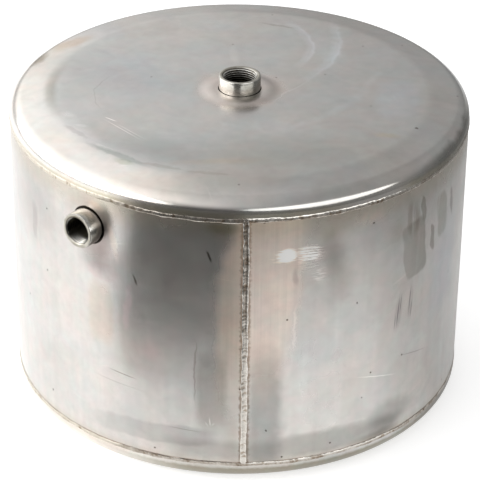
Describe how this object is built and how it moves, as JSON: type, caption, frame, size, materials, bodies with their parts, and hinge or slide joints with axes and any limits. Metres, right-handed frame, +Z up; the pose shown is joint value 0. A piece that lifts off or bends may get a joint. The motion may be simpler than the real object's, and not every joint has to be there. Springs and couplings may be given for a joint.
{
  "type": "small upright welded stainless steel pressure tank",
  "caption": "Squat upright drum tank of welded stainless sheet with shallow pressed heads, a threaded socket in the middle of the top and a smaller one high on the side.",
  "frame": {"origin": "centre of the flat bottom that the tank stands on", "axes": "+Z up along the tank's axis, -Y towards the long seam on the front, the side socket towards -X and -Y"},
  "size_m": [0.3518, 0.3518, 0.2526],
  "materials": {
    "mill_sheet": "dull mill finish with pickling stains, fine scratches and brown heat tint beside the welds",
    "pressed_sheet": "dull mill finish with cloudy stains and fine scratches, brighter on the knuckle",
    "weld_bead": "rippled weld metal, as welded and pickled",
    "turned_socket": "turned bar with fine tool marks, bright thread"
  },
  "bodies": {
    "root": {"shell": "mill_sheet", "top_head": "pressed_sheet", "bottom_head": "pressed_sheet", "top_girth_weld": "weld_bead", "bottom_girth_weld": "weld_bead", "long_seam_weld": "weld_bead", "top_socket": "turned_socket", "side_socket": "turned_socket", "top_socket_weld": "weld_bead", "side_socket_weld": "weld_bead"}
  },
  "joints": []
}
